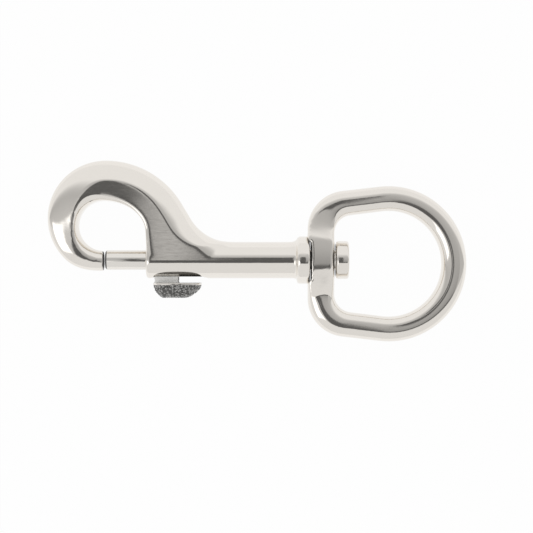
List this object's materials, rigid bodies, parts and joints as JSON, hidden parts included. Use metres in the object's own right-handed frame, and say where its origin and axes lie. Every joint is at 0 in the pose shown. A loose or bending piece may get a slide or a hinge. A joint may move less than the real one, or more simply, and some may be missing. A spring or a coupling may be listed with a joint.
{
  "type": "swivel snap hook",
  "caption": "Metal snap hook with a spring bolt closing its gate, a thumb button below the barrel, and a D-shaped eye that swivels on a headed pin.",
  "frame": {"origin": "on the swivel axis, level with the middle of the eye's round end", "axes": "+X along the swivel axis from the hook to the eye, +Y towards the hook's bow, +Z out of the hook's flat side"},
  "size_m": [0.1, 0.0433, 0.0114],
  "materials": {
    "plated_casting": "polished nickel plate",
    "polished_steel": "polished nickel plate",
    "pebbled_steel": "pebbled grip, plated",
    "spring_steel": "drawn wire",
    "plated_eye": "polished nickel plate",
    "plated_pin": "polished nickel plate"
  },
  "bodies": {
    "hook": {"hook_body": "plated_casting", "swivel_pin": "plated_pin", "return_spring": "spring_steel"},
    "sliding_bolt": {"bolt": "polished_steel", "thumb_button": "pebbled_steel"},
    "eye": {"swivel_eye": "plated_eye"}
  },
  "joints": [
    {"name": "bolt_slide", "type": "slide", "parent": "hook", "child": "sliding_bolt", "axis": [1, 0, 0], "range_m": [0, 0.0094], "stiffness_N_per_m": 400, "springref_m": -0.004, "deforming": ["return_spring"]},
    {"name": "eye_swivel", "type": "hinge", "parent": "hook", "child": "eye", "pos_m": [-0.016, 0, 0], "axis": [1, 0, 0], "continuous": true}
  ]
}
